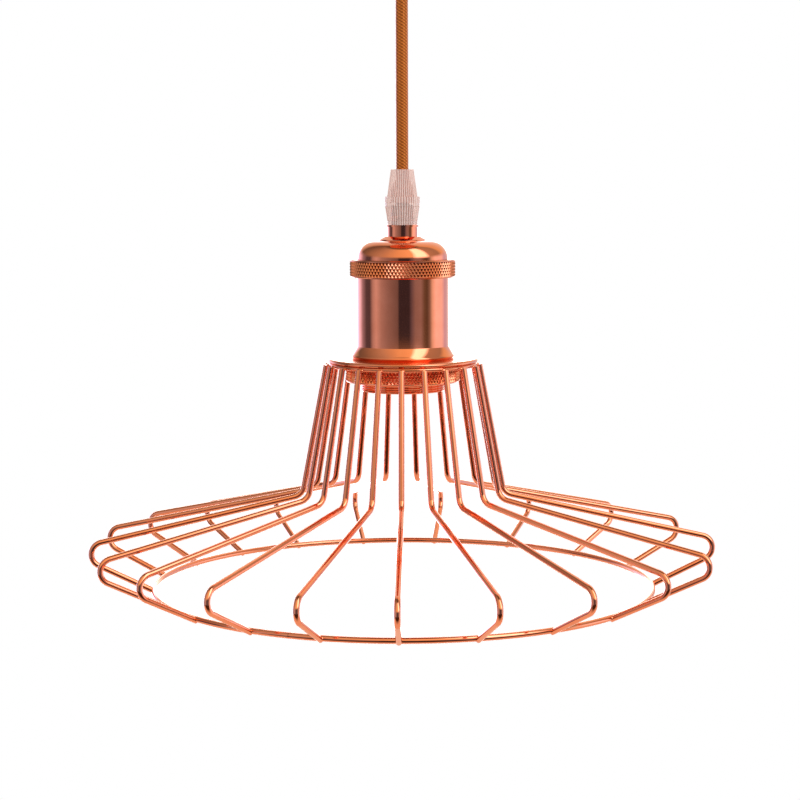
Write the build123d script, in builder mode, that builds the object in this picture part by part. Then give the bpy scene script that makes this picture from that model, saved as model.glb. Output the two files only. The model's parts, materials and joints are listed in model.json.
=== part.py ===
# A copper wire cage pendant: twenty bent wires on a small top plate and a bottom ring,
# hung by a braided cord from a ceiling rose. Millimetres, +Z up, origin on the ceiling.
from build123d import *
from math import cos, degrees, pi, radians, sin, sqrt
import os

os.makedirs("parts", exist_ok=True)

# Ceiling rose
rose_radius = 50.0
rose_height = 25.0
rose_corner = 6.0
sheet = 1.0
bracket_sheet = 1.5
bracket_width = 18.0
bracket_hole_spacing = 60.0
bracket_hole_radius = 2.25
ear_length = 13.0
side_screw_drop = 8.0
side_screw_radius = 1.5
side_screw_length = 6.0
side_head_radius = 3.0
side_head_height = 1.8
side_head_chamfer = 0.6
slot_width = 0.7
slot_depth = 0.8
block_length = 24.0
block_width = 13.0
block_height = 7.0
turret_radius = 3.0
turret_height = 2.5
turret_spacing = 7.5

# Cord and its plastic grips
cord_radius = 2.75
cord_exposed = 80.0
cord_in_grip = 28.0
cord_past_stem = 2.0
cap_taper_height = 12.0
cap_flange_height = 2.6
cap_top_radius = 5.05
cap_base_radius = 6.7
cap_flange_radius = 7.75
cap_lip_height = 4.2
grip_body_height = 9.8
grip_body_top_radius = 7.65
grip_body_base_radius = 6.65
grip_band_height = 1.6
collet_radius = 5.0
collet_height = 6.0
collet_slit = 0.8
tooth_count = 40
tooth_depth = 0.32
grub_radius = 1.25
grub_height = 2.9
grub_angle = -126.0

# Hollow threaded stem and its nut
stem_radius = 4.9
stem_bore_radius = 3.3
stem_in_grip = 8.8
stem_past_nut = 1.0
nut_across_flats = 14.0
nut_height = 3.0

# Neck, washer, dome and earth tag
neck_radius = 6.65
neck_lip_radius = 7.2
neck_lip_height = 0.8
neck_height = 5.1
washer_radius = 10.5
washer_top_radius = 7.9
washer_edge = 0.3
washer_height = 1.7
dome_height = 8.4
dome_wall_rise = 0.5
dome_shoulder_radius = 14.2
dome_shoulder_drop = 0.5
dome_flange_inset = 0.2
dome_flat_radius = 10.4
dome_inner_shoulder = 13.6
dome_inner_drop = 0.55
tag_radius = 8.0
tag_sheet = 0.8
tag_reach = 10.1
tag_tail = 6.2
tag_width = 4.0

# Knurled union collar and the turned shell of the holder
collar_wall = 1.8
collar_height = 7.9
collar_lip = 2.1
knurl_chamfer = 0.4
shell_thread_wall = 1.55
shell_seat_width = 1.25
shell_step = 4.0
body_wall = 1.55
body_length = 30.6
flare_height = 5.4
flare_reach = 2.6
flare_rounding = 0.45
flare_undercut = 0.75
flare_edge_rise = 1.1
flare_edge = 0.7
throat_rise = 2.4
throat_height = 2.0
throat_step = 1.3
barrel_radius = 18.9
barrel_wall = 1.3
barrel_length = 14.6
barrel_lip_width = 1.2
barrel_lip = 1.0

# Insulator, lamp thread shell, contacts and cores
socket_radius = 13.3
socket_wall = 0.45
socket_depth = 20.0
socket_neck_radius = 11.8
socket_neck_height = 4.8
socket_recess = 1.2
socket_hole_radius = 8.5
insulator_floor = 9.0
well_radius = 14.5
post_radius = 1.5
terminal_width = 6.5
terminal_height = 8.0
live_x = 5.0
live_post_x = 5.0
neutral_x = -10.0
neutral_post_x = -11.1
wire_hole_rise = 3.5
terminal_screw_radius = 1.4
terminal_head_radius = 2.5
terminal_head_height = 1.6
contact_width = 5.0
contact_sheet = 0.6
contact_end = 6.5
contact_bend = 4.3
contact_pad = 1.5
contact_tip = -2.6
contact_above_thread = 1.0
contact_miter = 0.25
core_radius = 0.95
core_circle = 1.45
core_bend = 3.0
core_straight = 3.1
core_side = 8.0
core_knee_rise = 8.0
core_past_screw = 1.5
earth_straight = 4.1
earth_dip = 2.5

# Shade: top plate, knurled ring nut, wires and bottom ring
plate_radius = 33.8
plate_sheet = 1.2
rim_bead = 0.9
rim_lower_inset = 0.5
rim_height = 3.6
rim_web = 1.0
shade_nut_wall = 6.6
shade_nut_height = 9.2
wire_radius = 1.3
wire_count = 20
wire_bend = 5.6
weld_bite = 0.4
wire_top_drop = 3.0
knee_radius = 45.3
knee_drop = 61.3
corner_radius = 150.7
corner_drop = 84.6
mouth_radius = 112.0
mouth_drop = 103.0
foot_drop = 0.67
seam_angle = -114.3
seam_width = 0.16

# The wires were set by hand, so their spacing opens and closes round the plate
drift_angle = 6.1
drift_phase = 158.0
second_drift_angle = 1.75
second_drift_phase = 57.0
first_wire_angle = 3.7

# Clearances
thread_clearance = 0.05
slide_clearance = 0.15
wide_clearance = 0.2

# Radii that follow others: the rim's lower bead, and the holder built up from its barrel
rim_lower_radius = plate_radius - rim_lower_inset
barrel_bore_radius = barrel_radius - barrel_wall
barrel_lip_radius = barrel_bore_radius - barrel_lip_width
body_bore_radius = barrel_bore_radius + throat_step
body_radius = body_bore_radius + body_wall
flare_edge_radius = body_radius + flare_reach
flare_neck_radius = flare_edge_radius - flare_rounding
flare_foot_radius = flare_edge_radius - flare_undercut
shell_seat_radius = body_bore_radius + shell_seat_width
shell_thread_radius = shell_seat_radius + shell_thread_wall
dome_radius = shell_seat_radius
dome_flange_radius = shell_thread_radius - dome_flange_inset
collar_radius = shell_thread_radius + collar_wall
shade_nut_radius = barrel_radius + shade_nut_wall

# Heights, stacked down from the ceiling
rose_base_z = -rose_height
grip_length = cap_taper_height + cap_flange_height + grip_body_height
grip_top_z = rose_base_z - grip_length - cord_exposed
cap_taper_z = grip_top_z - cap_taper_height
cap_base_z = cap_taper_z - cap_flange_height
neck_top_z = cap_base_z - grip_body_height
washer_top_z = neck_top_z - neck_height
dome_top_z = washer_top_z - washer_height
collar_top_z = dome_top_z - dome_height
seat_z = collar_top_z - collar_lip - sheet
collar_base_z = collar_top_z - collar_height
flare_top_z = collar_base_z - body_length
plate_top_z = flare_top_z - flare_height
barrel_base_z = plate_top_z - barrel_length
insulator_base_z = barrel_base_z + barrel_lip
socket_base_z = insulator_base_z + socket_recess
thread_top_z = socket_base_z + socket_depth
socket_top_z = thread_top_z + socket_neck_height
well_floor_z = socket_top_z + insulator_floor
terminal_top_z = well_floor_z + terminal_height
tag_top_z = dome_top_z - sheet
nut_top_z = tag_top_z - tag_sheet
stem_base_z = nut_top_z - nut_height - stem_past_nut
cord_base_z = grip_top_z - cord_in_grip
rose_stem_top_z = rose_base_z + sheet + nut_height + stem_past_nut
cord_top_z = rose_stem_top_z + cord_past_stem
ring_z = plate_top_z - mouth_drop


def save(name, solid):
    solid.label = name
    export_step(solid, f"parts/{name}.step")


def toothed_outline(radius):
    # A ring of shallow V teeth, as moulded on the sides of the grip
    points = []
    for step in range(2 * tooth_count):
        reach = radius - tooth_depth * (step % 2)
        turn = radians(180.0 * step / tooth_count)
        points.append((reach * cos(turn), reach * sin(turn)))
    return points


# Strain relief cap: a ribbed cone over a plain flange, bored for the cord and the collet
with BuildPart() as grip_cap:
    for radius, height in ((cap_base_radius, cap_taper_z), (cap_top_radius, grip_top_z)):
        with BuildSketch(Plane.XY.offset(height)):
            with BuildLine():
                Polyline(*toothed_outline(radius), close=True)
            make_face()
    loft(ruled=True)
    with BuildSketch(Plane.XY.offset(cap_base_z)):
        Circle(cap_flange_radius)
    extrude(amount=cap_flange_height)
    with BuildSketch(Plane.XZ):
        with BuildLine():
            Polyline(
                (0, cap_base_z),
                (collet_radius + slide_clearance, cap_base_z),
                (collet_radius + slide_clearance, cap_base_z + collet_height + wide_clearance),
                (cord_radius + slide_clearance, grip_top_z - cap_lip_height),
                (cord_radius + slide_clearance, grip_top_z),
                (0, grip_top_z),
                close=True,
            )
        make_face()
    revolve(axis=Axis.Z, mode=Mode.SUBTRACT)

# The grub screw lies across the grip, from the stem to just under the ribs
grub_x = cos(radians(grub_angle))
grub_y = sin(radians(grub_angle))
grub_plane = Plane(
    origin=(stem_radius * grub_x, stem_radius * grub_y, neck_top_z + grub_height),
    x_dir=(0, 0, 1),
    z_dir=(grub_x, grub_y, 0),
)
grub_length = grip_body_base_radius - stem_radius

# Strain relief body: ribbed between two plain bands, with a slit collet on top
with BuildPart() as grip_body:
    for radius, height in (
        (grip_body_base_radius, neck_top_z + grip_band_height),
        (grip_body_top_radius, cap_base_z - grip_band_height),
    ):
        with BuildSketch(Plane.XY.offset(height)):
            with BuildLine():
                Polyline(*toothed_outline(radius), close=True)
            make_face()
    loft(ruled=True)
    with BuildSketch(Plane.XY.offset(neck_top_z)):
        Circle(grip_body_base_radius)
    extrude(amount=grip_band_height)
    with BuildSketch(Plane.XY.offset(cap_base_z - grip_band_height)):
        Circle(grip_body_top_radius)
    extrude(amount=grip_band_height)
    with BuildSketch(Plane.XY.offset(cap_base_z)):
        Circle(collet_radius)
    extrude(amount=collet_height)
    with BuildSketch(Plane.XY.offset(neck_top_z)):
        Circle(cord_radius + slide_clearance)
    extrude(amount=grip_body_height + collet_height, mode=Mode.SUBTRACT)
    with BuildSketch(Plane.XY.offset(neck_top_z)):
        Circle(stem_radius + thread_clearance)
    extrude(amount=stem_in_grip + thread_clearance, mode=Mode.SUBTRACT)
    with BuildSketch(Plane.XY.offset(cap_base_z + collet_height / 3)):
        Rectangle(3 * collet_radius, collet_slit)
        Rectangle(collet_slit, 3 * collet_radius)
    extrude(amount=collet_height, mode=Mode.SUBTRACT)
    with BuildSketch(grub_plane):
        Circle(grub_radius + thread_clearance)
    extrude(amount=cap_flange_radius, mode=Mode.SUBTRACT)

# Nylon grub screw with a slot
with BuildPart() as grip_screw:
    with BuildSketch(grub_plane):
        Circle(grub_radius)
    extrude(amount=grub_length)
    with BuildSketch(grub_plane.offset(grub_length)):
        Rectangle(slot_width, 3 * grub_radius)
    extrude(amount=-slot_depth, mode=Mode.SUBTRACT)

# Hollow threaded stems and their nuts: one in the dome, one through the rose
with BuildPart() as stem_tube:
    with BuildSketch(Plane.XY.offset(stem_base_z)):
        Circle(stem_radius)
        Circle(stem_bore_radius, mode=Mode.SUBTRACT)
    extrude(amount=neck_top_z + stem_in_grip - stem_base_z)
with BuildPart() as stem_nut:
    with BuildSketch(Plane.XY.offset(nut_top_z)):
        RegularPolygon(nut_across_flats / 2, 6, major_radius=False)
        Circle(stem_radius + thread_clearance, mode=Mode.SUBTRACT)
    extrude(amount=-nut_height)
with BuildPart() as rose_stem_tube:
    with BuildSketch(Plane.XY.offset(rose_base_z - stem_in_grip)):
        Circle(stem_radius)
        Circle(stem_bore_radius, mode=Mode.SUBTRACT)
    extrude(amount=rose_stem_top_z - rose_base_z + stem_in_grip)
with BuildPart() as rose_stem_nut:
    with BuildSketch(Plane.XY.offset(rose_base_z + sheet)):
        RegularPolygon(nut_across_flats / 2, 6, major_radius=False)
        Circle(stem_radius + thread_clearance, mode=Mode.SUBTRACT)
    extrude(amount=nut_height)

# The rose has the same grip, turned over
turned_over = Location((0, 0, neck_top_z + rose_base_z), (180, 0, 0))
with BuildPart() as rose_grip_cap:
    add(grip_cap.part.moved(turned_over))
with BuildPart() as rose_grip_body:
    add(grip_body.part.moved(turned_over))
with BuildPart() as rose_grip_screw:
    add(grip_screw.part.moved(turned_over))

# Ceiling rose: a spun cup with a rounded edge, open to the ceiling
cup_hole_radius = stem_radius + slide_clearance
with BuildPart() as rose_cup:
    with BuildSketch(Plane.XZ):
        with BuildLine():
            FilletPolyline(
                (cup_hole_radius, rose_base_z),
                (rose_radius, rose_base_z),
                (rose_radius, 0),
                radius=rose_corner,
            )
            Line((rose_radius, 0), (rose_radius - sheet, 0))
            FilletPolyline(
                (rose_radius - sheet, 0),
                (rose_radius - sheet, rose_base_z + sheet),
                (cup_hole_radius, rose_base_z + sheet),
                radius=rose_corner - sheet,
            )
            Line((cup_hole_radius, rose_base_z + sheet), (cup_hole_radius, rose_base_z))
        make_face()
    revolve(axis=Axis.Z)
    with BuildSketch(Plane.YZ.offset(-rose_radius - sheet)):
        with Locations((0, -side_screw_drop)):
            Circle(side_screw_radius + slide_clearance)
    extrude(amount=2 * (rose_radius + sheet), mode=Mode.SUBTRACT)

# Strap bracket against the ceiling, its ears as far out as the round cup lets them go
ear_x = sqrt((rose_radius - sheet) ** 2 - (bracket_width / 2) ** 2) - slide_clearance
with BuildPart() as rose_bracket:
    with BuildSketch(Plane.XY):
        Rectangle(2 * ear_x, bracket_width)
        with GridLocations(bracket_hole_spacing, 0, 2, 1):
            Circle(bracket_hole_radius, mode=Mode.SUBTRACT)
    extrude(amount=-bracket_sheet)
    for side in (-1, 1):
        with BuildSketch(Plane.YZ.offset(side * ear_x)):
            with Locations((0, -ear_length / 2)):
                Rectangle(bracket_width, ear_length)
            with Locations((0, -side_screw_drop)):
                Circle(side_screw_radius + thread_clearance, mode=Mode.SUBTRACT)
        extrude(amount=-side * bracket_sheet)

# Two slotted screws hold the cup to the ears
head_plane = Plane(origin=(rose_radius, 0, -side_screw_drop), x_dir=(0, 1, 0), z_dir=(1, 0, 0))
with BuildPart() as rose_screw_right:
    with BuildSketch(head_plane):
        Circle(side_head_radius)
    extrude(amount=side_head_height)
    chamfer(rose_screw_right.faces().sort_by(Axis.X)[-1].edges(), side_head_chamfer)
    with BuildSketch(head_plane):
        Circle(side_screw_radius)
    extrude(amount=-side_screw_length)
    with BuildSketch(head_plane.offset(side_head_height)):
        Rectangle(3 * side_head_radius, slot_width)
    extrude(amount=-slot_depth, mode=Mode.SUBTRACT)
rose_screw_left = mirror(rose_screw_right.part, about=Plane.YZ)

# Three-way terminal block on the upper end of the cord
with BuildPart() as rose_terminal_block:
    with BuildSketch(Plane.XY.offset(cord_top_z)):
        Rectangle(block_length, block_width)
    extrude(amount=block_height)
    with BuildSketch(Plane.XY.offset(cord_top_z + block_height)):
        with GridLocations(turret_spacing, 0, 3, 1):
            Circle(turret_radius)
    extrude(amount=turret_height)

# The cord runs straight down, held taut by the weight of the shade
cord_length = cord_top_z - cord_base_z
with BuildPart() as cord:
    with BuildSketch(Plane.XY.offset(cord_base_z)):
        Circle(cord_radius)
    extrude(amount=cord_length)
print("cord volume", cord.part.volume, "section x length", pi * cord_radius**2 * cord_length)

# Neck sleeve and stepped washer, threaded on the stem above the dome
hole_radius = stem_radius + slide_clearance
with BuildPart() as neck_collar:
    with BuildSketch(Plane.XY.offset(washer_top_z)):
        Circle(neck_radius)
        Circle(hole_radius, mode=Mode.SUBTRACT)
    extrude(amount=neck_height)
    with BuildSketch(Plane.XY.offset(neck_top_z)):
        Circle(neck_lip_radius)
        Circle(hole_radius, mode=Mode.SUBTRACT)
    extrude(amount=-neck_lip_height)
with BuildPart() as step_washer:
    with BuildSketch(Plane.XZ):
        with BuildLine():
            Polyline(
                (hole_radius, dome_top_z),
                (washer_radius, dome_top_z),
                (washer_radius, dome_top_z + washer_edge),
                (washer_top_radius, washer_top_z),
                (hole_radius, washer_top_z),
                close=True,
            )
        make_face()
    revolve(axis=Axis.Z)

# Spun dome with a flange that the union collar clamps on the shell
shoulder_z = collar_top_z + dome_wall_rise
with BuildPart() as dome_cap:
    with BuildSketch(Plane.XZ):
        with BuildLine():
            Polyline(
                (dome_radius - sheet, shoulder_z),
                (dome_radius - sheet, seat_z),
                (dome_flange_radius, seat_z),
                (dome_flange_radius, seat_z + sheet),
                (dome_radius, seat_z + sheet),
                (dome_radius, shoulder_z),
            )
            TangentArc(
                (dome_radius, shoulder_z),
                (dome_shoulder_radius, dome_top_z - dome_shoulder_drop),
                tangent=(0, 1),
            )
            Polyline(
                (dome_shoulder_radius, dome_top_z - dome_shoulder_drop),
                (washer_radius, dome_top_z),
                (hole_radius, dome_top_z),
                (hole_radius, tag_top_z),
                (dome_flat_radius, tag_top_z),
                (dome_inner_shoulder, tag_top_z - dome_inner_drop),
            )
            TangentArc(
                (dome_radius - sheet, shoulder_z),
                (dome_inner_shoulder, tag_top_z - dome_inner_drop),
                tangent=(0, 1),
            )
        make_face()
    revolve(axis=Axis.Z)

# Earth tag between the dome and the nut, its tail bent down
with BuildPart() as earth_tag:
    with BuildSketch(Plane.XY.offset(tag_top_z)):
        Circle(tag_radius)
        with Locations((0, tag_reach / 2)):
            Rectangle(tag_width, tag_reach)
        Circle(hole_radius, mode=Mode.SUBTRACT)
    extrude(amount=-tag_sheet)
    with BuildSketch(Plane.XY.offset(tag_top_z)):
        with Locations((0, tag_reach - tag_sheet / 2)):
            Rectangle(tag_width, tag_sheet)
    extrude(amount=-tag_tail)

# Union collar: its lip holds the dome's flange down, its bore is threaded on the shell
collar_bore = shell_thread_radius + slide_clearance
collar_lip_bore = dome_radius + slide_clearance
with BuildPart() as union_collar:
    with BuildSketch(Plane.XZ):
        with BuildLine():
            Polyline(
                (collar_lip_bore, collar_top_z),
                (collar_radius - knurl_chamfer, collar_top_z),
                (collar_radius, collar_top_z - knurl_chamfer),
                (collar_radius, collar_base_z + knurl_chamfer),
                (collar_radius - knurl_chamfer, collar_base_z),
                (collar_bore, collar_base_z),
                (collar_bore, seat_z + sheet),
                (collar_lip_bore, seat_z + sheet),
                close=True,
            )
        make_face()
    revolve(axis=Axis.Z)

# Turned shell: threaded top, plain body, flared foot on the plate, threaded barrel below
shell_shelf_z = seat_z - shell_step
flare_edge_z = plate_top_z + flare_edge_rise
with BuildPart() as holder_shell:
    with BuildSketch(Plane.XZ):
        with BuildLine():
            Polyline(
                (flare_foot_radius, plate_top_z),
                (barrel_radius, plate_top_z),
                (barrel_radius, barrel_base_z + knurl_chamfer),
                (barrel_radius - knurl_chamfer, barrel_base_z),
                (barrel_lip_radius, barrel_base_z),
                (barrel_lip_radius, insulator_base_z),
                (barrel_bore_radius, insulator_base_z),
                (barrel_bore_radius, plate_top_z + throat_rise),
                (body_bore_radius, plate_top_z + throat_rise + throat_height),
                (body_bore_radius, shell_shelf_z),
                (shell_seat_radius, shell_shelf_z),
                (shell_seat_radius, seat_z),
                (shell_thread_radius, seat_z),
                (shell_thread_radius, collar_base_z + wide_clearance),
                (body_radius, collar_base_z + wide_clearance),
                (body_radius, flare_top_z),
                (flare_neck_radius, flare_edge_z + flare_edge),
            )
            ThreePointArc(
                (flare_neck_radius, flare_edge_z + flare_edge),
                (flare_edge_radius, flare_edge_z),
                (flare_neck_radius, flare_edge_z - flare_edge),
            )
            Line((flare_neck_radius, flare_edge_z - flare_edge), (flare_foot_radius, plate_top_z))
        make_face()
    revolve(axis=Axis.Z)

# Ceramic insulator: a wiring well above, the lamp socket below, two post holes between
insulator_bore = socket_radius + socket_wall + wide_clearance
insulator_neck_bore = socket_neck_radius + socket_wall + wide_clearance
shoulder_top_z = thread_top_z + socket_wall
with BuildPart() as ceramic_insulator:
    with BuildSketch(Plane.XZ):
        with BuildLine():
            Polyline(
                (0, socket_top_z),
                (insulator_neck_bore, socket_top_z),
                (insulator_neck_bore, shoulder_top_z),
                (insulator_bore, shoulder_top_z),
                (insulator_bore, insulator_base_z),
                (barrel_bore_radius - wide_clearance, insulator_base_z),
                (barrel_bore_radius - wide_clearance, shell_shelf_z),
                (shell_seat_radius - slide_clearance, shell_shelf_z),
                (shell_seat_radius - slide_clearance, seat_z),
                (well_radius, seat_z),
                (well_radius, well_floor_z),
                (0, well_floor_z),
                close=True,
            )
        make_face()
    revolve(axis=Axis.Z)
    with BuildSketch(Plane.XY.offset(well_floor_z)):
        with Locations((live_post_x, 0), (neutral_post_x, 0)):
            Circle(post_radius + thread_clearance)
    extrude(amount=-insulator_floor, mode=Mode.SUBTRACT)

# Lamp thread shell, a stepped sheet cup with a hole for the centre contact
with BuildPart() as screw_shell:
    with BuildSketch(Plane.XZ):
        with BuildLine():
            Polyline(
                (socket_radius, socket_base_z),
                (socket_radius + socket_wall, socket_base_z),
                (socket_radius + socket_wall, shoulder_top_z),
                (socket_neck_radius + socket_wall, shoulder_top_z),
                (socket_neck_radius + socket_wall, socket_top_z),
                (socket_hole_radius, socket_top_z),
                (socket_hole_radius, socket_top_z - socket_wall),
                (socket_neck_radius, socket_top_z - socket_wall),
                (socket_neck_radius, thread_top_z),
                (socket_radius, thread_top_z),
                close=True,
            )
        make_face()
    revolve(axis=Axis.Z)

# Sprung centre contact under the live post, clear of the thread below it
contact_z = thread_top_z + contact_above_thread
with BuildPart() as centre_contact:
    with BuildSketch(Plane.XZ):
        with BuildLine():
            Polyline(
                (contact_end, socket_top_z),
                (contact_end, socket_top_z - contact_sheet),
                (contact_bend, socket_top_z - contact_sheet),
                (contact_pad, contact_z),
                (contact_tip, contact_z),
                (contact_tip, contact_z + contact_sheet),
                (contact_pad - contact_miter, contact_z + contact_sheet),
                (contact_bend - contact_miter, socket_top_z),
                close=True,
            )
        make_face()
    extrude(amount=contact_width / 2, both=True)

# Brass terminals on the well floor, each with a wire hole, a clamp screw and a post
wire_hole_z = well_floor_z + wire_hole_rise
wire_hole_radius = core_radius + slide_clearance
screw_depth = terminal_height - wire_hole_rise - core_radius
terminals = {}
terminal_screws = {}
for name, block_x, post_x in (
    ("live_terminal", live_x, live_post_x),
    ("neutral_terminal", neutral_x, neutral_post_x),
):
    with BuildPart() as terminal:
        with BuildSketch(Plane.XY.offset(well_floor_z)):
            with Locations((block_x, 0)):
                Rectangle(terminal_width, terminal_width)
        extrude(amount=terminal_height)
        with BuildSketch(Plane.XY.offset(well_floor_z)):
            with Locations((post_x, 0)):
                Circle(post_radius)
        extrude(amount=-insulator_floor)
        with BuildSketch(Plane.XZ):
            with Locations((block_x, wire_hole_z)):
                Circle(wire_hole_radius)
        extrude(amount=terminal_width, both=True, mode=Mode.SUBTRACT)
        with BuildSketch(Plane.XY.offset(terminal_top_z)):
            with Locations((block_x, 0)):
                Circle(terminal_screw_radius + thread_clearance)
        extrude(amount=wire_hole_z - terminal_top_z, mode=Mode.SUBTRACT)
    terminals[name] = terminal.part
    with BuildPart() as terminal_screw:
        with BuildSketch(Plane.XY.offset(terminal_top_z)):
            with Locations((block_x, 0)):
                Circle(terminal_screw_radius)
        extrude(amount=-screw_depth)
        with BuildSketch(Plane.XY.offset(terminal_top_z)):
            with Locations((block_x, 0)):
                Circle(terminal_head_radius)
        extrude(amount=terminal_head_height)
        with BuildSketch(Plane.XY.offset(terminal_top_z + terminal_head_height)):
            with Locations((block_x, 0)):
                Rectangle(3 * terminal_head_radius, slot_width)
        extrude(amount=-slot_depth, mode=Mode.SUBTRACT)
    terminal_screws[name + "_screw"] = terminal_screw.part

# Three cores leave the end of the cord, pass the stem and reach their terminals
cores = {}
for name, turn, block_x in (("live_core", 330, live_x), ("neutral_core", 210, neutral_x)):
    start_x = core_circle * cos(radians(turn))
    start_y = core_circle * sin(radians(turn))
    with BuildPart() as core:
        with BuildLine():
            FilletPolyline(
                (start_x, start_y, cord_base_z),
                (start_x, start_y, stem_base_z - core_straight),
                (block_x, -core_side, wire_hole_z + core_knee_rise),
                (block_x, -core_side, wire_hole_z),
                (block_x, core_past_screw, wire_hole_z),
                radius=core_bend,
            )
        with BuildSketch(Plane(origin=(start_x, start_y, cord_base_z), z_dir=(0, 0, -1))):
            Circle(core_radius)
        sweep()
    cores[name] = core.part
tail_y = tag_reach - tag_sheet / 2
earth_low_z = stem_base_z - earth_straight
with BuildPart() as earth_core:
    with BuildLine():
        FilletPolyline(
            (0, core_circle, cord_base_z),
            (0, core_circle, earth_low_z),
            (0, tail_y, earth_low_z - earth_dip),
            (0, tail_y, tag_top_z - tag_tail),
            radius=core_bend,
        )
    with BuildSketch(Plane(origin=(0, core_circle, cord_base_z), z_dir=(0, 0, -1))):
        Circle(core_radius)
    sweep()
cores["earth_core"] = earth_core.part

# Top plate of the shade: flat sheet with a rim of two rolled beads
upper_bead_radius = plate_radius - rim_bead
lower_bead_radius = rim_lower_radius - rim_bead
lower_bead_z = plate_top_z - rim_height + rim_bead
plate_base_z = plate_top_z - plate_sheet
plate_hole_radius = barrel_radius + wide_clearance
with BuildPart() as shade_plate:
    with BuildSketch(Plane.XZ):
        with Locations(((plate_hole_radius + upper_bead_radius) / 2, plate_top_z - plate_sheet / 2)):
            Rectangle(upper_bead_radius - plate_hole_radius, plate_sheet)
        with Locations((lower_bead_radius - rim_web / 2, (plate_base_z + lower_bead_z) / 2)):
            Rectangle(rim_web, plate_base_z - lower_bead_z)
        with Locations((upper_bead_radius, plate_top_z - rim_bead), (lower_bead_radius, lower_bead_z)):
            Circle(rim_bead)
    revolve(axis=Axis.Z)

# Ring nut under the plate
with BuildPart() as shade_nut:
    with BuildSketch(Plane.XY.offset(plate_base_z)):
        Circle(shade_nut_radius)
        Circle(barrel_radius + thread_clearance, mode=Mode.SUBTRACT)
    extrude(amount=-shade_nut_height)
    chamfer(shade_nut.edges().filter_by(GeomType.CIRCLE).sort_by(SortBy.RADIUS)[-2:], knurl_chamfer)

# Bottom ring: one wire bent round and butted, with a hairline seam
seam = degrees(seam_width / mouth_radius)
with BuildPart() as bottom_ring:
    with BuildSketch(Plane.XZ):
        with Locations((mouth_radius, ring_z)):
            Circle(wire_radius)
    revolve(axis=Axis.Z, revolution_arc=360 - seam)
seam_turn = Rot(0, 0, seam_angle + seam / 2)

# One cage wire, coped where it is welded to the rim and to the ring
wire_start = (rim_lower_radius + wire_radius - weld_bite, plate_top_z - wire_top_drop)
wire_knee = (knee_radius, plate_top_z - knee_drop)
with BuildPart() as cage_wire:
    with BuildLine(Plane.XZ):
        FilletPolyline(
            wire_start,
            wire_knee,
            (corner_radius, plate_top_z - corner_drop),
            (mouth_radius, ring_z - foot_drop),
            radius=wire_bend,
        )
    with BuildSketch(
        Plane(
            origin=(wire_start[0], 0, wire_start[1]),
            z_dir=(wire_knee[0] - wire_start[0], 0, wire_knee[1] - wire_start[1]),
        )
    ):
        Circle(wire_radius)
    sweep()
    with Locations((0, 0, ring_z)):
        Torus(mouth_radius, wire_radius, mode=Mode.SUBTRACT)
    add(shade_plate.part, mode=Mode.SUBTRACT)

for number in range(wire_count):
    step = 360.0 / wire_count * number
    drift = drift_angle * cos(radians(step - drift_phase))
    drift += second_drift_angle * cos(radians(2 * step - second_drift_phase))
    turn = first_wire_angle + drift - step - 90
    save(f"rib_{number + 1:02d}", Rot(0, 0, turn) * cage_wire.part)

save("bottom_ring", seam_turn * bottom_ring.part)
save("shade_plate", shade_plate.part)
save("shade_nut", shade_nut.part)
save("holder_shell", holder_shell.part)
save("union_collar", union_collar.part)
save("dome_cap", dome_cap.part)
save("step_washer", step_washer.part)
save("neck_collar", neck_collar.part)
save("stem_tube", stem_tube.part)
save("stem_nut", stem_nut.part)
save("earth_tag", earth_tag.part)
save("ceramic_insulator", ceramic_insulator.part)
save("screw_shell", screw_shell.part)
save("centre_contact", centre_contact.part)
save("grip_body", grip_body.part)
save("grip_cap", grip_cap.part)
save("grip_screw", grip_screw.part)
save("cord", cord.part)
save("rose_cup", rose_cup.part)
save("rose_bracket", rose_bracket.part)
save("rose_stem_tube", rose_stem_tube.part)
save("rose_stem_nut", rose_stem_nut.part)
save("rose_grip_body", rose_grip_body.part)
save("rose_grip_cap", rose_grip_cap.part)
save("rose_grip_screw", rose_grip_screw.part)
save("rose_screw_right", rose_screw_right.part)
save("rose_screw_left", rose_screw_left)
save("rose_terminal_block", rose_terminal_block.part)
for group in (terminals, terminal_screws, cores):
    for name, solid in group.items():
        save(name, solid)
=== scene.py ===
# Copper wire pendant lamp, dressed for its picture on white
import json
import math

import bmesh
import bpy
from mathutils import Matrix, Vector


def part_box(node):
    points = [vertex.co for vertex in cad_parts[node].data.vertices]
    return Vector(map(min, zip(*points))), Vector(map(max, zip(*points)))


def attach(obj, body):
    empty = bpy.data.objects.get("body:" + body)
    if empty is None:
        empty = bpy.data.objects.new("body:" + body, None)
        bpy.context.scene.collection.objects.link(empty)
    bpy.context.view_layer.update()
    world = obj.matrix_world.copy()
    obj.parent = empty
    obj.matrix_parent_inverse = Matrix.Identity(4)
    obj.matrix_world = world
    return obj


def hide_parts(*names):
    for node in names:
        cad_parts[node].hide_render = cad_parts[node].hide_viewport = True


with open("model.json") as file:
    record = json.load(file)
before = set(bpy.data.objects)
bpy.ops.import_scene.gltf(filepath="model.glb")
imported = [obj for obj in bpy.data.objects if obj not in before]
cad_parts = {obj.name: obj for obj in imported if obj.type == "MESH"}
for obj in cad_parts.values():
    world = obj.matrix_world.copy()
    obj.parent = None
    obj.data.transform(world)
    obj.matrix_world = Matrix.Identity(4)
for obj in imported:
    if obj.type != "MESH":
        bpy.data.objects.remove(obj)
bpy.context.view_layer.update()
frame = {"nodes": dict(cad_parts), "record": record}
nodes = frame["nodes"]
mm = 0.001  # sizes in the dictionaries are in millimetres, except those of the camera, floor and lights
print("frame loaded:", len(nodes), "nodes")

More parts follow.
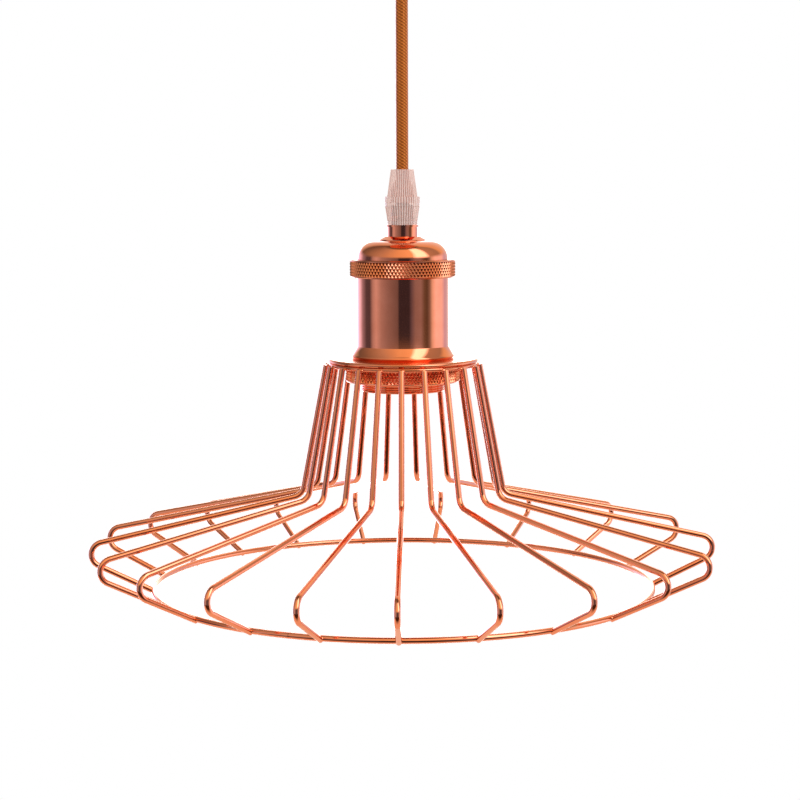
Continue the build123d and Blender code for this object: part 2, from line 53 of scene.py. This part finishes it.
# Camera, at the height of the grip and looking a little down
camera = {
    "place": (0, -0.9164, -0.129),
    "pitch": 83.586,  # degrees from straight down
    "roll": -0.18,
    "lens": 92.7,
    "sensor": 36,
    "shift": -0.0037,
}
cameraData = bpy.data.cameras.new("camera")
cameraData.lens = camera["lens"]
cameraData.sensor_width = camera["sensor"]
cameraData.shift_x = camera["shift"]
cameraObject = bpy.data.objects.new("camera", cameraData)
cameraObject.matrix_world = (
    Matrix.Translation(camera["place"])
    @ Matrix.Rotation(math.radians(camera["pitch"]), 4, "X")
    @ Matrix.Rotation(math.radians(camera["roll"]), 4, "Z")
)
bpy.context.scene.collection.objects.link(cameraObject)
bpy.context.scene.camera = cameraObject


def linear(hexCode):
    channels = [int(hexCode[place:place + 2], 16) / 255 for place in (1, 3, 5)]
    return [c / 12.92 if c < 0.04045 else ((c + 0.055) / 1.055) ** 2.4 for c in channels] + [1.0]


def addNode(tree, kind, inputs=None, **settings):
    node = tree.nodes.new("ShaderNode" + kind)
    for name, value in settings.items():
        setattr(node, name, value)
    for socket, value in (inputs or {}).items():
        if isinstance(value, bpy.types.NodeSocket):
            tree.links.new(value, node.inputs[socket])
        else:
            node.inputs[socket].default_value = value
    return node


def startMaterial(name, colour, **sockets):
    material = bpy.data.materials.new(name)
    material.use_nodes = True
    shader = material.node_tree.nodes["Principled BSDF"]
    shader.inputs["Base Color"].default_value = linear(colour)
    for socket, value in sockets.items():
        shader.inputs[socket].default_value = value
    return material, material.node_tree, shader


# Copper plating, polished: a pink-orange metal that mirrors the room, a little darker and duller in clouds
copper = {
    "colour": "#F89D78",
    "stain": "#E28560",
    "stainSize": 7.0,
    "roughnessShares": (0.75, 1.3),  # where it is clear and where it is stained
    "lineDepth": 0.02,
}
# a paler, brighter copy of the same copper colour, which is painted light, for the wires, the bottom ring,
# their weld beads and the ring nut
paintedLightPlating = {"colour": "#FFA883", "stain": "#F0916B"}
# a darker copy of the same copper colour, which is painted shade, for the knurled collar
paintedShadePlating = {"colour": "#E89674", "stain": "#D07F60"}


def copperPlating(name, roughness, grainAcross, stretch, bump, colours=copper):
    material, tree, shader = startMaterial(name, colours["colour"], Metallic=1.0)
    place = addNode(tree, "TexCoord").outputs["Object"]
    cloud = addNode(tree, "TexNoise", {"Vector": place, "Scale": 1000 / copper["stainSize"], "Detail": 3.0})
    tint = addNode(
        tree, "Mix", {0: cloud.outputs[0], 6: linear(colours["colour"]), 7: linear(colours["stain"])},
        data_type="RGBA",
    )
    tree.links.new(tint.outputs[2], shader.inputs["Base Color"])
    clear, stained = [roughness * share for share in copper["roughnessShares"]]
    gloss = addNode(tree, "MapRange", {0: cloud.outputs[0], 3: clear, 4: stained})
    tree.links.new(gloss.outputs[0], shader.inputs["Roughness"])
    # polishing and lathe lines, drawn a little coarser than they are
    lines = addNode(tree, "Mapping", {"Vector": place, "Scale": stretch})
    grain = addNode(
        tree, "TexNoise", {"Vector": lines.outputs[0], "Scale": 1000 / grainAcross, "Detail": 2.0},
    )
    relief = addNode(
        tree, "Bump", {"Height": grain.outputs[0], "Strength": bump, "Distance": copper["lineDepth"] * mm},
    )
    tree.links.new(relief.outputs[0], shader.inputs["Normal"])
    return material


wireCopper = copperPlating(
    "copper plated drawn wire", roughness=0.06, grainAcross=0.6, stretch=(1, 1, 0.15), bump=0.07,
    colours=paintedLightPlating,
)
turnedCopper = copperPlating(
    "copper plated turned steel", roughness=0.07, grainAcross=0.5, stretch=(0.05, 0.05, 1), bump=0.12,
)
sheetCopper = copperPlating(
    "copper plated pressed sheet", roughness=0.16, grainAcross=0.8, stretch=(1, 1, 1), bump=0.10,
)
knurledCopper = copperPlating(
    "copper plated knurling", roughness=0.14, grainAcross=0.5, stretch=(1, 1, 1), bump=0.12,
    colours=paintedShadePlating,
)
nutCopper = copperPlating(
    "copper plated ring nut", roughness=0.20, grainAcross=0.5, stretch=(1, 1, 1), bump=0.12,
    colours=paintedLightPlating,
)

# Milky polypropylene: a moulded plastic that lets the cord show through, more milky on its ribs, where it is
# thicker, with painted shade that darkens the grooves between the ribs
milky = {
    "colour": "#E6D5CF",
    "clear": "#FBE8E1",
    # painted shade in the grooves between the ribs
    "groove": "#BF9C92",
    "ridge": "#F4E4DE",
    "ribs": 40,
    "milkiness": (0.38, 0.50),  # in the grooves and on the ribs
    "roughness": (0.22, 0.38),
    "cloudSize": 2.381,
}


def gripPlastic():
    material, tree, shader = startMaterial("natural polypropylene, moulded", milky["colour"], IOR=1.49)
    place = addNode(tree, "TexCoord").outputs["Object"]
    cloud = addNode(tree, "TexNoise", {"Vector": place, "Scale": 1000 / milky["cloudSize"], "Detail": 2.0})
    glossiest, dullest = milky["roughness"]
    gloss = addNode(tree, "MapRange", {0: cloud.outputs[0], 3: glossiest, 4: dullest})
    tree.links.new(gloss.outputs[0], shader.inputs["Roughness"])
    split = addNode(tree, "SeparateXYZ", {0: place})
    angle = addNode(tree, "Math", {0: split.outputs[0], 1: split.outputs[1]}, operation="ARCTAN2")
    turns = addNode(tree, "Math", {0: angle.outputs[0], 1: milky["ribs"]}, operation="MULTIPLY")
    wave = addNode(tree, "Math", {0: turns.outputs[0]}, operation="COSINE")
    ridge = addNode(tree, "MapRange", {0: wave.outputs[0], 1: -1.0, 2: 1.0})
    # painted shade: the colour runs from a darker tone in the grooves to the paler plastic on the ribs
    tint = addNode(
        tree, "Mix", {0: ridge.outputs[0], 6: linear(milky["groove"]), 7: linear(milky["ridge"])},
        data_type="RGBA",
    )
    tree.links.new(tint.outputs[2], shader.inputs["Base Color"])
    clear = addNode(tree, "BsdfTransparent", {0: linear(milky["clear"])})
    inGroove, onRib = milky["milkiness"]
    share = addNode(tree, "MapRange", {0: ridge.outputs[0], 3: inGroove, 4: onRib})
    both = addNode(tree, "MixShader", {0: share.outputs[0], 1: clear.outputs[0], 2: shader.outputs[0]})
    tree.links.new(both.outputs[0], tree.nodes["Material Output"].inputs[0])
    return material


# Braided metallic yarn over the cord: two sets of shiny copper-coloured yarns crossing on the slant
braid = {
    "yarnsRound": 8,
    "pitch": 11.0,  # the height in which a yarn goes once round
    "colour": "#DC8036",
    # painted shade between the yarns and where they go under
    "groove": "#7C360E",
    "relief": 0.18,
    "bump": 0.6,
    "dip": 0.5,  # what is left of a yarn's height where it goes under
}


def braidedThread():
    material, tree, shader = startMaterial(
        "copper metallic yarn, braided", braid["colour"], Metallic=0.72, Roughness=0.28,
    )
    split = addNode(tree, "SeparateXYZ", {0: addNode(tree, "TexCoord").outputs["UV"]})
    turns = split.outputs[0]
    rise = split.outputs[1]
    waves = []
    for hand in (1, -1):
        slant = addNode(tree, "Math", {0: rise, 1: hand}, operation="MULTIPLY")
        lay = addNode(tree, "Math", {0: turns, 1: slant.outputs[0]}, operation="ADD")
        angle = addNode(
            tree, "Math", {0: lay.outputs[0], 1: math.pi * braid["yarnsRound"]}, operation="MULTIPLY",
        )
        waves.append(addNode(tree, "Math", {0: angle.outputs[0]}, operation="SINE").outputs[0])
    over = addNode(tree, "Math", {0: waves[0]}, operation="ABSOLUTE")
    under = addNode(tree, "Math", {0: waves[1]}, operation="ABSOLUTE")
    crossing = addNode(tree, "MapRange", {0: under.outputs[0], 3: braid["dip"], 4: 1.0})
    height = addNode(tree, "Math", {0: over.outputs[0], 1: crossing.outputs[0]}, operation="MULTIPLY")
    # painted shade: darker where the yarns' height is low, between the yarns and where one goes under the
    # other set
    tint = addNode(
        tree, "Mix", {0: height.outputs[0], 6: linear(braid["groove"]), 7: linear(braid["colour"])},
        data_type="RGBA",
    )
    tree.links.new(tint.outputs[2], shader.inputs["Base Color"])
    relief = addNode(
        tree, "Bump",
        {"Height": height.outputs[0], "Strength": braid["bump"], "Distance": braid["relief"] * mm},
    )
    tree.links.new(relief.outputs[0], shader.inputs["Normal"])
    return material


# Plain finishes of the small inner pieces, each with a little unevenness
def plainFinish(name, colour, second, size, **sockets):
    material, tree, shader = startMaterial(name, colour, **sockets)
    place = addNode(tree, "TexCoord").outputs["Object"]
    cloud = addNode(tree, "TexNoise", {"Vector": place, "Scale": 1000 / size, "Detail": 4.0})
    tint = addNode(tree, "Mix", {0: cloud.outputs[0], 6: linear(colour), 7: linear(second)}, data_type="RGBA")
    tree.links.new(tint.outputs[2], shader.inputs["Base Color"])
    return material


clearGrip = gripPlastic()
yarnBraid = braidedThread()
# zinc plating is grey and a little dull, and machined brass is yellow and brighter
zincSteel = plainFinish("zinc plated steel", "#A7A8A6", "#8E908F", 2.0, Metallic=1.0, Roughness=0.32)
plainBrass = plainFinish("machined brass", "#D9B566", "#C49C4A", 2.5, Metallic=1.0, Roughness=0.25)
# glaze shines on white porcelain, and moulded nylon and the cores' sleeves have a soft sheen
porcelain = plainFinish("glazed porcelain", "#EFEDE6", "#E4E0D6", 6.0, Roughness=0.18, IOR=1.52)
nylon = plainFinish("white nylon, moulded", "#E9E9E4", "#DCDCD6", 3.0, Roughness=0.45, IOR=1.53)
brownSleeve = plainFinish("brown PVC sleeve", "#5A2E17", "#482310", 2.0, Roughness=0.4)
blueSleeve = plainFinish("blue PVC sleeve", "#1F4FA0", "#1A4288", 2.0, Roughness=0.4)
greenSleeve = plainFinish("green PVC sleeve", "#4E9A2E", "#C9C23A", 1.5, Roughness=0.4)

finishOf = {
    "clear_plastic": clearGrip, "cord_braid": yarnBraid, "zinc_steel": zincSteel, "brass": plainBrass,
    "porcelain": porcelain, "white_nylon": nylon, "live_sleeve": brownSleeve, "neutral_sleeve": blueSleeve,
    "earth_sleeve": greenSleeve, "copper_plate": turnedCopper,
}
sheetPieces = ("shade_plate", "rose_cup")
for part in frame["record"]["subparts"]:
    name = part["node"]
    finish = finishOf[part["material_slot"]]
    if name.startswith("rib_") or name == "bottom_ring":
        finish = wireCopper
    if name in sheetPieces:
        finish = sheetCopper
    nodes[name].data.materials.clear()
    nodes[name].data.materials.append(finish)
print("finishes on", len(nodes), "nodes")


def finishPiece(name, mesh, material, sharpFrom):
    data = bpy.data.meshes.new(name)
    mesh.to_mesh(data)
    mesh.free()
    data.materials.append(material)
    data.shade_smooth()
    data.set_sharp_from_angle(angle=math.radians(sharpFrom))
    piece = bpy.data.objects.new(name, data)
    bpy.context.scene.collection.objects.link(piece)
    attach(piece, "root")
    return piece


# Cord: held straight by the weight of the shade, from inside the holder's stem up into the rose
cordFacts = {"diameter": 5.5, "around": 32, "rings": 140, "mergeWithin": 0.001}
cordLow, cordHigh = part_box("cord")
cordDiameter = cordFacts["diameter"] * mm
cordLength = cordHigh[2] - cordLow[2]
cordNear = 6 * cordDiameter  # beside each end a point more, so that the run stays straight
cordRoute = [
    (0, 0, cordLow[2]),
    (0, 0, cordLow[2] + cordNear),
    (0, 0, cordHigh[2] - cordNear),
    (0, 0, cordHigh[2]),
]


def splinePath(name, points):
    curve = bpy.data.curves.new(name, "CURVE")
    curve.dimensions = "3D"
    curve.resolution_u = 24
    spline = curve.splines.new("NURBS")
    spline.points.add(len(points) - 1)
    for point, place in zip(spline.points, points):
        point.co = (*place, 1)
    spline.order_u = 3
    spline.use_endpoint_u = True
    holder = bpy.data.objects.new(name, curve)
    line = bpy.data.meshes.new_from_object(holder)
    places = [tuple(vertex.co) for vertex in line.vertices]
    bpy.data.objects.remove(holder)
    bpy.data.curves.remove(curve)
    bpy.data.meshes.remove(line)
    return places


path = splinePath("cordRoute", cordRoute)
pathLow = path[0][2]
pathHigh = path[-1][2]
mergeWithin = cordFacts["mergeWithin"] * mm
cordMesh = bmesh.new()
layer = cordMesh.loops.layers.uv.new("braid")
bmesh.ops.create_grid(cordMesh, x_segments=cordFacts["around"], y_segments=cordFacts["rings"], size=0.5)
bmesh.ops.translate(cordMesh, vec=(0.5, 0.5, 0), verts=cordMesh.verts)
for face in cordMesh.faces:
    for loop in face.loops:
        loop[layer].uv = (loop.vert.co.x, loop.vert.co.y * cordLength / mm / braid["pitch"])
for vertex in cordMesh.verts:
    turn = 2 * math.pi * vertex.co.x
    rise = pathLow + vertex.co.y * (pathHigh - pathLow)
    vertex.co = (cordDiameter / 2 * math.cos(turn), cordDiameter / 2 * math.sin(turn), rise)
bmesh.ops.remove_doubles(cordMesh, verts=cordMesh.verts, dist=mergeWithin)
for end in (pathLow, pathHigh):
    rim = [
        edge for edge in cordMesh.edges
        if edge.is_boundary and all(abs(vertex.co.z - end) < mergeWithin for vertex in edge.verts)
    ]
    bmesh.ops.edgeloop_fill(cordMesh, edges=rim)
bmesh.ops.recalc_face_normals(cordMesh, faces=cordMesh.faces)
cordPiece = finishPiece("braidedCord", cordMesh, yarnBraid, 50)
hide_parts("cord")
print("cord", round(cordLength, 4), "m")


def lathe(rows, around, shape=None, valleys=None):
    # a closed profile of (radius, height) rows, turned round the lamp's axis. shape says how far a point is
    # sunk below its row, and the sunk points are added to valleys
    mesh = bmesh.new()
    bmesh.ops.create_grid(mesh, x_segments=around, y_segments=len(rows), size=0.5)
    for vertex in mesh.verts:
        column = round((vertex.co.x + 0.5) * around)
        row = round((vertex.co.y + 0.5) * len(rows)) % len(rows)
        radius, height = rows[row]
        turn = 2 * math.pi * column / around
        sunk = shape(row, column, turn) if shape else 0
        if sunk and valleys is not None:
            valleys.add(vertex)
        radius -= sunk
        vertex.co = (radius * mm * math.sin(turn), -radius * mm * math.cos(turn), height * mm)
    return mesh


def closeLathe(mesh):
    seamWithin = 0.002 * mm
    bmesh.ops.remove_doubles(mesh, verts=mesh.verts, dist=seamWithin)
    bmesh.ops.recalc_face_normals(mesh, faces=mesh.faces)
    return mesh


# Knurled rings: rows of small pyramids between two chamfers, cut by two sets of slanting grooves
knurl = {
    "wide": 1.6,
    "tall": 2.6,
    "depth": 0.5,
    "chamfer": 0.4,
    "rim": 0.7,  # height left plain at the top and at the bottom
    "edge": 0.02,  # from the outermost pyramids to the plain rim
}
knurledRings = {
    "knurledCollar": {
        "node": "union_collar", "finish": knurledCopper, "bore": 21.85, "lipBore": 20.3, "lip": 2.1,
    },
    "knurledNut": {
        "node": "shade_nut", "finish": nutCopper, "bore": 18.95, "lipBore": 18.95, "lip": 2.0,
    },
}
for name, ring in knurledRings.items():
    lowCorner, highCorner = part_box(ring["node"])
    radius = highCorner[0] / mm
    inset = radius - knurl["chamfer"]
    base = lowCorner[2] / mm
    top = highCorner[2] / mm
    underLip = top - ring["lip"]
    low = base + knurl["rim"]
    high = top - knurl["rim"]
    steps = round(2 * (high - low) / knurl["tall"])
    around = 2 * round(2 * math.pi * radius / knurl["wide"])
    rows = [(radius, low + (high - low) * step / steps) for step in range(steps + 1)]
    rows += [
        (radius, high + knurl["edge"]), (radius, top - knurl["chamfer"]), (inset, top),
        (ring["lipBore"], top), (ring["lipBore"], underLip), (ring["bore"], underLip),
        (ring["bore"], base), (inset, base), (radius, base + knurl["chamfer"]),
        (radius, low - knurl["edge"]),
    ]
    valleys = set()

    def pyramid(row, column, turn):
        return knurl["depth"] if row <= steps and (row + column) % 2 else 0

    mesh = lathe(rows, around, pyramid, valleys)
    # each four-sided face is folded along its groove
    for face in list(mesh.faces):
        valley = [vertex for vertex in face.verts if vertex in valleys]
        if len(valley) != 2:
            continue
        first, second = valley
        if first not in [edge.other_vert(second) for edge in second.link_edges]:
            bmesh.utils.face_split(face, first, second)
    piece = finishPiece(name, closeLathe(mesh), ring["finish"], 20)
    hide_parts(ring["node"])

# Shell of the holder, turned from one piece, with a fine thread on its barrel
shell = {
    "around": 128,
    "outline": [
        (21.7, -172.1), (21.7, -176.7), (20.45, -176.7), (20.45, -207.3), (20.52, -207.62), (22.6, -211.1),
        (22.88, -211.4), (23.05, -211.8), (22.88, -212.2), (22.6, -212.5), (22.3, -212.9), (18.9, -212.9),
    ],
    "barrel": (18.9, -213.3, -227.1),  # radius, top and base
    "inside": [
        (18.5, -227.5), (16.4, -227.5), (16.4, -226.5), (17.6, -226.5), (17.6, -210.5), (18.9, -208.5),
        (18.9, -176.1), (20.15, -176.1), (20.15, -172.1),
    ],
    "pitch": 1.0,
    "threadDepth": 0.38,
    "rowsInTurn": 6,
}
barrelRadius, barrelTop, barrelBase = shell["barrel"]
barrelRows = round((barrelTop - barrelBase) / shell["pitch"] * shell["rowsInTurn"])
rows = shell["outline"] + [
    (barrelRadius, barrelTop + (barrelBase - barrelTop) * row / barrelRows) for row in range(barrelRows + 1)
] + shell["inside"]
firstRow = len(shell["outline"])


def thread(row, column, turn):
    if not firstRow < row < firstRow + barrelRows:
        return 0
    phase = (row - firstRow) / shell["rowsInTurn"] + turn / (2 * math.pi)
    return shell["threadDepth"] * (1 - abs(2 * (phase % 1) - 1))


shellMesh = closeLathe(lathe(rows, shell["around"], thread))
shellPiece = finishPiece("turnedShell", shellMesh, turnedCopper, 25)
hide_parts("holder_shell")
print("knurled rings and turned shell")

# Stems, a tenth under size so that their facets stay inside the plastic
stemFacts = {"radius": 4.8, "bore": 3.35, "around": 48}
for name, node in (("holderStem", "stem_tube"), ("roseStem", "rose_stem_tube")):
    lowCorner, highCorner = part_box(node)
    base = lowCorner[2] / mm
    top = highCorner[2] / mm
    rows = [
        (stemFacts["radius"], base), (stemFacts["radius"], top),
        (stemFacts["bore"], top), (stemFacts["bore"], base),
    ]
    mesh = closeLathe(lathe(rows, stemFacts["around"]))
    finishPiece(name, mesh, zincSteel, 40)
    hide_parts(node)
print("stems")

# Strain reliefs, moulded with ribs: radius, height above the piece's foot, ribbed or not
grips = {
    "around": 2 * milky["ribs"],
    "ribDepth": 0.32,
    "cap": [
        (7.75, 0, False), (7.75, 2.6, False), (6.7, 2.6, True), (5.05, 14.6, True), (2.95, 14.6, False),
        (2.95, 10.4, False), (5.15, 6.2, False), (5.15, 0, False),
    ],
    "body": [
        (6.65, 0, False), (6.65, 1.6, False), (6.65, 1.65, True), (7.65, 8.15, True), (7.65, 8.2, False),
        (7.65, 9.8, False), (5.0, 9.8, False), (5.0, 15.8, False), (2.95, 15.8, False), (2.95, 8.8, False),
        (4.95, 8.8, False), (4.95, 0, False),
    ],
}
for name, node, profile, upright in (
    ("gripCap", "grip_cap", "cap", True), ("gripBody", "grip_body", "body", True),
    ("roseGripCap", "rose_grip_cap", "cap", False), ("roseGripBody", "rose_grip_body", "body", False),
):
    lowCorner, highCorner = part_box(node)
    foot = (lowCorner if upright else highCorner)[2] / mm
    rows = [(radius, foot + (height if upright else -height)) for radius, height, ribbed in grips[profile]]

    def rib(row, column, turn):
        return grips["ribDepth"] if grips[profile][row][2] and column % 2 else 0

    mesh = closeLathe(lathe(rows, grips["around"], rib))
    finishPiece(name, mesh, clearGrip, 12)
    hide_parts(node)
print("grips, and the rose on the cord's far end")

# Weld beads where each wire meets the plate's rim and the bottom ring, no two quite the same
weld = {
    "rim": {"radius": 33.3, "height": -216.1, "size": (1.5, 0.75, 0.85)},
    "ring": {"radius": 112.5, "height": -315.95, "size": (1.9, 1.25, 1.2)},
}
beadFacts = {"wires": 20, "around": 20, "along": 12, "uneven": 0.14, "unevenStep": 2.4}
beads = bmesh.new()
for number in range(beadFacts["wires"]):
    wire = nodes[f"rib_{number + 1:02d}"].data
    reach = Vector((0, 0, 0))
    for vertex in wire.vertices:
        reach += Vector((vertex.co.x, vertex.co.y, 0))
    sideways = Matrix.Rotation(math.atan2(reach.x, -reach.y), 4, "Z")
    for place, spot in weld.items():
        wobble = 1 + beadFacts["uneven"] * math.sin(number * beadFacts["unevenStep"] + len(place))
        shape = (
            sideways
            @ Matrix.Translation((0, -spot["radius"] * mm, spot["height"] * mm))
            @ Matrix.Diagonal((*[half * mm * wobble for half in spot["size"]], 1))
        )
        bmesh.ops.create_uvsphere(
            beads, u_segments=beadFacts["around"], v_segments=beadFacts["along"], radius=1, matrix=shape,
        )
finishPiece("weldBeads", beads, wireCopper, 60)
print("weld beads")

# Room: white sweep behind the lamp, dim studio in front of it with a few pale screens and a large
# softbox high on the right. The polished metal mirrors it by direction: levels by degrees round the
# lamp, counted from the side that the picture is taken from
white = (1, 1, 1, 1)
cool = (0.97, 1.02, 1.6)
pale = (1, 1, 1.2)
plain = (1, 1, 1)
warm = (1.05, 0.95, 0.75)
amber = (1.05, 0.85, 0.5)
room = {
    "level": [
        (-180, 5.0, plain), (-168, 4.6, plain), (-158, 2.6, cool), (-150, 1.6, cool), (-131, 1.1, cool),
        (-120, 0.45, cool), (-104, 0.12, cool), (-90, 0.11, cool), (-80, 0.55, pale),
        (-70, 0.75, pale), (-55, 0.48, pale), (-38, 0.34, pale), (-22, 0.25, pale),
        (-12, 0.20, pale), (-9, 0.05, cool), (16, 0.05, cool), (22, 0.15, cool), (32, 0.32, pale),
        (46, 0.36, pale), (56, 0.17, warm), (64, 0.12, warm), (72, 0.30, plain), (80, 0.95, plain),
        (92, 1.35, pale), (115, 1.20, pale), (131, 0.75, cool), (157, 0.85, plain),
        (167, 2.4, plain), (180, 5.0, plain),
    ],
    "high": [
        (-180, 1.0, plain), (-150, 0.75, warm), (-132, 0.18, warm), (-115, 0.25, warm),
        (-94, 0.39, warm), (-60, 0.60, warm), (-15, 0.95, amber), (26, 1.15, amber), (38, 3.0, plain),
        (64, 3.0, plain), (76, 0.55, warm), (112, 0.43, warm), (125, 0.90, amber), (180, 1.05, plain),
    ],
    "brightest": 5.0,
    "highStarts": (0.10, 0.30),  # the sine of the height above the lamp's level, as below
    "overheadStarts": (0.90, 0.96),
    "overhead": (0.030, 0.024, 0.016, 1),
    "fill": 0.75,
}


def fillRamp(ramp, stops):
    elements = ramp.color_ramp.elements
    while len(elements) > 1:
        elements.remove(elements[-1])
    elements[0].position = stops[0][0]
    elements[0].color = stops[0][1]
    for position, colour in stops[1:]:
        elements.new(position).color = colour


def mirroredRoom():
    world = bpy.data.worlds.new("room")
    world.use_nodes = True
    tree = world.node_tree
    direction = addNode(tree, "SeparateXYZ", {0: addNode(tree, "TexCoord").outputs["Generated"]})
    toward = addNode(tree, "Math", {0: direction.outputs[1], 1: -1.0}, operation="MULTIPLY")
    angle = addNode(tree, "Math", {0: direction.outputs[0], 1: toward.outputs[0]}, operation="ARCTAN2")
    share = addNode(tree, "MapRange", {0: angle.outputs[0], 1: -math.pi, 2: math.pi})
    ramps = []
    for zone in ("level", "high"):
        ramp = addNode(tree, "ValToRGB", {0: share.outputs[0]})
        fillRamp(ramp, [
            ((turn + 180) / 360, [level * channel / room["brightest"] for channel in tint] + [1])
            for turn, level, tint in room[zone]
        ])
        ramps.append(ramp.outputs[0])
    starts, whole = room["highStarts"]
    up = addNode(tree, "MapRange", {0: direction.outputs[2], 1: starts, 2: whole})
    blended = addNode(tree, "Mix", {0: up.outputs[0], 6: ramps[0], 7: ramps[1]}, data_type="RGBA")
    starts, whole = room["overheadStarts"]
    overhead = addNode(tree, "MapRange", {0: direction.outputs[2], 1: starts, 2: whole})
    dimmed = addNode(
        tree, "Mix", {0: overhead.outputs[0], 6: blended.outputs[2], 7: room["overhead"]}, data_type="RGBA",
    )
    mirrored = addNode(
        tree, "Mix", {0: 1.0, 6: dimmed.outputs[2], 7: [room["brightest"]] * 3 + [1]},
        data_type="RGBA", blend_type="MULTIPLY",
    )
    light = addNode(tree, "LightPath")
    seen = addNode(
        tree, "Math", {0: light.outputs["Is Camera Ray"], 1: light.outputs["Is Transmission Ray"]},
        operation="MAXIMUM",
    )
    glossed = addNode(
        tree, "Mix",
        {0: light.outputs["Is Glossy Ray"], 6: [room["fill"]] * 3 + [1], 7: mirrored.outputs[2]},
        data_type="RGBA",
    )
    shown = addNode(tree, "Mix", {0: seen.outputs[0], 6: glossed.outputs[2], 7: white}, data_type="RGBA")
    tree.links.new(shown.outputs[2], tree.nodes["Background"].inputs[0])
    return world


bpy.context.scene.world = mirroredRoom()

# Floor well below the lamp, which glows: an even white to the camera, and in the metal a painted reflection,
# dark in front and pale farther back
floorFacts = {
    "height": -0.95,
    "half": 1.6,
    "colour": "#F2F2F0",
    "darkTo": -0.75,
    "paleFrom": -0.25,
    "dark": "#47301F",
    "pale": "#F6DCC6",
}


def glowingFloorPaper():
    material, tree, shader = startMaterial("matt white paper", floorFacts["colour"], Roughness=0.9)
    light = addNode(tree, "LightPath")
    seen = addNode(
        tree, "Math", {0: light.outputs["Is Camera Ray"], 1: light.outputs["Is Glossy Ray"]},
        operation="MAXIMUM",
    )
    through = addNode(
        tree, "Math", {0: seen.outputs[0], 1: light.outputs["Is Transmission Ray"]}, operation="MAXIMUM",
    )
    place = addNode(tree, "SeparateXYZ", {0: addNode(tree, "TexCoord").outputs["Object"]})
    # painted reflection: the glow that the metal sees runs from dark in front to pale farther back
    depth = addNode(
        tree, "MapRange", {0: place.outputs[1], 1: floorFacts["darkTo"], 2: floorFacts["paleFrom"]},
    )
    mirrored = addNode(
        tree, "Mix", {0: depth.outputs[0], 6: linear(floorFacts["dark"]), 7: linear(floorFacts["pale"])},
        data_type="RGBA",
    )
    shown = addNode(
        tree, "Mix", {0: light.outputs["Is Glossy Ray"], 6: white, 7: mirrored.outputs[2]},
        data_type="RGBA",
    )
    glow = addNode(tree, "Emission", {0: shown.outputs[2], 1: 1.0})
    both = addNode(tree, "MixShader", {0: through.outputs[0], 1: shader.outputs[0], 2: glow.outputs[0]})
    tree.links.new(both.outputs[0], tree.nodes["Material Output"].inputs[0])
    return material


floorMesh = bmesh.new()
bmesh.ops.create_grid(floorMesh, x_segments=1, y_segments=1, size=floorFacts["half"])
bmesh.ops.translate(floorMesh, vec=(0, 0, floorFacts["height"]), verts=floorMesh.verts)
floorData = bpy.data.meshes.new("floor")
floorMesh.to_mesh(floorData)
floorMesh.free()
floorData.materials.append(glowingFloorPaper())
floor = bpy.data.objects.new("floor", floorData)
bpy.context.scene.collection.objects.link(floor)

# Two softboxes: a strong one high on the right in front and a weaker one on the left
softboxes = {
    "keyLight": {"place": (0.55, -0.75, 0.45), "size": 0.55, "power": 9.0},
    "sideLight": {"place": (-0.9, -0.35, 0.15), "size": 0.5, "power": 4.0},
}
aim = Vector((0, 0, -0.22))
for name, box in softboxes.items():
    data = bpy.data.lights.new(name, "AREA")
    data.shape = "SQUARE"
    data.size = box["size"]
    data.energy = box["power"]
    lamp = bpy.data.objects.new(name, data)
    lamp.location = box["place"]
    lamp.rotation_euler = (aim - Vector(box["place"])).to_track_quat("-Z", "Y").to_euler()
    lamp.visible_glossy = False  # the room's own softbox is what the metal mirrors
    bpy.context.scene.collection.objects.link(lamp)
bpy.context.scene.view_settings.view_transform = "Standard"
print("room, floor and lights set")
